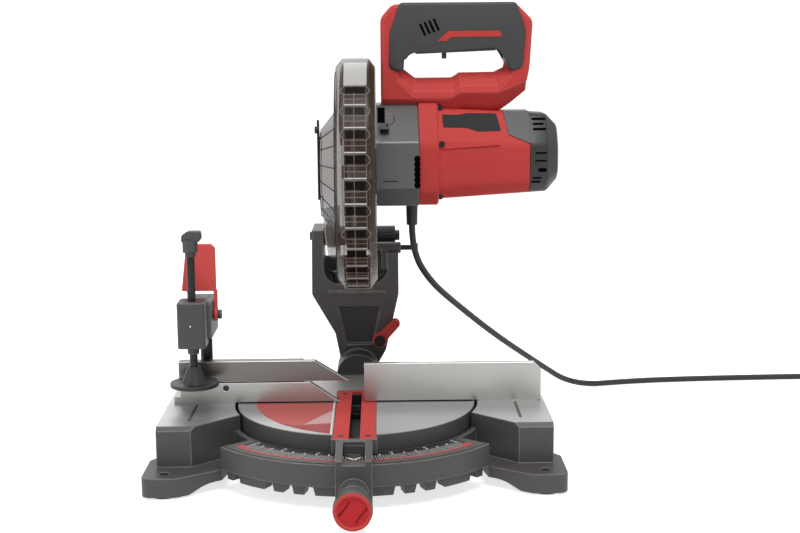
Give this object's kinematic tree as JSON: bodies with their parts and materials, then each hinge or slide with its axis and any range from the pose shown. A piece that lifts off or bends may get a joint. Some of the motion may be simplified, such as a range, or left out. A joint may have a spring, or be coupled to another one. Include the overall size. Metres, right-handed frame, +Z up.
{
  "type": "miter saw",
  "caption": "Bench miter saw: turntable base with fences and work clamp, tilting fork, sprung chopping head with motor, D-handle, retracting blade guard and mains lead.",
  "frame": {"origin": "centre of the four bench bolts, under the turntable's pivot, at bench level", "axes": "+X to the right, +Y to the back and +Z up, as seen by the person sawing"},
  "size_m": [0.9405, 0.6435, 0.4735],
  "materials": {
    "dark_casting": "satin dark grey paint on cast aluminium, machined bright on top",
    "table_casting": "turned cast aluminium with a painted arm",
    "fence_metal": "extruded, brushed bright",
    "head_paint": "satin dark grey paint",
    "bright_steel": "turned and zinc plated",
    "dark_steel": "blackened",
    "blade_steel": "ground",
    "core_steel": "laminations and windings",
    "red_plastic": "moulded, glossy",
    "black_plastic": "moulded, fine grain",
    "guard_plastic": "smoky clear plastic",
    "grip_rubber": "soft grip, fine grain",
    "pad_rubber": "moulded pads",
    "scale_print": "dark scale with light lines",
    "lead_rubber": "flexible sheath",
    "brush_carbon": "pressed carbon"
  },
  "bodies": {
    "base": {"base_casting": "dark_casting", "rubber_feet": "pad_rubber", "pivot_bolt": "bright_steel", "miter_scale": "scale_print", "detent_plate": "dark_casting", "fence_right": "fence_metal", "fence_left_fixed": "fence_metal", "fence_bolts": "dark_steel", "cord_coil": "lead_rubber", "plug": "lead_rubber"},
    "turntable": {"turntable": "table_casting", "kerf_insert": "red_plastic", "insert_screws": "dark_steel", "miter_pointer": "bright_steel", "bevel_pivot_bolt": "bright_steel"},
    "miter_knob": {"lock_knob": "black_plastic", "lock_knob_cap": "red_plastic"},
    "detent": {"detent_plunger": "dark_steel"},
    "fence_slide": {"fence_left_sliding": "fence_metal"},
    "fence_knob": {"fence_knob": "black_plastic"},
    "bevel_arm": {"bevel_arm_casting": "dark_casting", "pivot_shaft": "bright_steel", "torsion_spring": "dark_steel", "spring_cover": "black_plastic", "arm_bolts": "dark_steel"},
    "bevel_lever": {"bevel_lever": "red_plastic"},
    "head_lock_pin": {"head_lock_pin": "dark_steel"},
    "head": {"head_casting": "head_paint", "gear_housing": "head_paint", "motor_housing": "red_plastic", "motor_end_cap": "black_plastic", "housing_screws": "dark_steel", "stator": "core_steel", "carbon_brushes": "brush_carbon", "ball_bearings": "bright_steel", "strain_relief": "lead_rubber", "handle_front_shell": "red_plastic", "handle_rear_shell": "red_plastic", "handle_grip": "grip_rubber", "switch": "black_plastic", "cord": "lead_rubber"},
    "lower_guard": {"lower_guard": "guard_plastic", "guard_lift_rod": "dark_steel"},
    "spindle": {"spindle_shaft": "bright_steel", "spindle_gear": "bright_steel", "blade_flanges": "bright_steel", "saw_blade": "blade_steel", "arbor_bolt": "dark_steel"},
    "rotor": {"rotor_shaft": "bright_steel", "armature": "core_steel", "cooling_fan": "black_plastic"},
    "trigger": {"trigger": "black_plastic"},
    "lock_off": {"lock_off": "black_plastic"},
    "spindle_lock": {"spindle_lock": "black_plastic"},
    "clamp": {"clamp_post": "dark_steel", "clamp_arm": "dark_casting"},
    "clamp_rod": {"clamp_rod": "dark_steel", "clamp_foot": "black_plastic", "clamp_knob": "black_plastic"},
    "clamp_lever": {"clamp_lever": "red_plastic"}
  },
  "joints": [
    {"name": "miter_turn", "type": "hinge", "parent": "base", "child": "turntable", "pos_m": [0, 0, 0.05], "axis": [0, 0, -1], "range_deg": [-45, 45]},
    {"name": "miter_lock", "type": "hinge", "parent": "turntable", "child": "miter_knob", "pos_m": [0, -0.22, 0.0246], "axis": [0, 1, 0], "range_deg": [0, 180]},
    {"name": "detent_press", "type": "slide", "parent": "turntable", "child": "detent", "axis": [0, 1, 0], "range_m": [0, 0.006], "stiffness_N_per_m": 500},
    {"name": "fence_out", "type": "slide", "parent": "base", "child": "fence_slide", "axis": [-1, 0, 0], "range_m": [0, 0.07]},
    {"name": "fence_lock", "type": "hinge", "parent": "base", "child": "fence_knob", "pos_m": [-0.136, 0.016, 0.0784], "axis": [0, 1, 0], "range_deg": [0, 180]},
    {"name": "bevel_tilt", "type": "hinge", "parent": "turntable", "child": "bevel_arm", "pos_m": [0, 0.134, 0.062], "axis": [0, -1, 0], "range_deg": [0, 30]},
    {"name": "bevel_lock", "type": "hinge", "parent": "bevel_arm", "child": "bevel_lever", "pos_m": [0.025, 0.134, 0.098], "axis": [0, 1, 0], "range_deg": [0, 50]},
    {"name": "head_lock", "type": "slide", "parent": "bevel_arm", "child": "head_lock_pin", "axis": [-1, 0, 0], "range_m": [0, 0.01]},
    {"name": "chop", "type": "hinge", "parent": "bevel_arm", "child": "head", "pos_m": [0, 0.18, 0.212], "axis": [1, 0, 0], "range_deg": [0, 45], "stiffness_Nm_per_rad": 5, "springref_deg": -126.05},
    {"name": "guard_turn", "type": "hinge", "parent": "head", "child": "lower_guard", "pos_m": [0, 0.018, 0.302], "axis": [-1, 0, 0], "range_deg": [0, 118]},
    {"name": "blade_spin", "type": "hinge", "parent": "head", "child": "spindle", "pos_m": [0, 0.018, 0.302], "axis": [1, 0, 0], "continuous": true},
    {"name": "rotor_spin", "type": "hinge", "parent": "head", "child": "rotor", "pos_m": [0, 0.04587, 0.31989], "axis": [1, 0, 0], "continuous": true},
    {"name": "trigger_squeeze", "type": "hinge", "parent": "head", "child": "trigger", "pos_m": [0.161, 0.039, 0.431], "axis": [0, 1, 0], "range_deg": [0, 2.5], "stiffness_Nm_per_rad": 4, "springref_deg": -3.44},
    {"name": "lock_off_slide", "type": "slide", "parent": "trigger", "child": "lock_off", "axis": [-1, 0, 0], "range_m": [0, 0.003], "stiffness_N_per_m": 300},
    {"name": "spindle_lock_press", "type": "slide", "parent": "head", "child": "spindle_lock", "axis": [0, 1, 0], "range_m": [0, 0.005], "stiffness_N_per_m": 400},
    {"name": "clamp_swing", "type": "hinge", "parent": "base", "child": "clamp", "pos_m": [-0.1585, 0.025, 0.1], "axis": [0, 0, -1], "range_deg": [-22, 10]},
    {"name": "clamp_press", "type": "slide", "parent": "clamp", "child": "clamp_rod", "axis": [0, 0, -1], "range_m": [0, 0.026]},
    {"name": "clamp_lever_turn", "type": "hinge", "parent": "clamp", "child": "clamp_lever", "pos_m": [-0.1585, 0.005, 0.156], "axis": [-1, 0, 0], "range_deg": [0, 35]}
  ],
  "couplings": [
    {"joint": "guard_turn", "follows": "chop", "ratio": 2.62},
    {"joint": "rotor_spin", "follows": "blade_spin", "ratio": -3.8182}
  ]
}
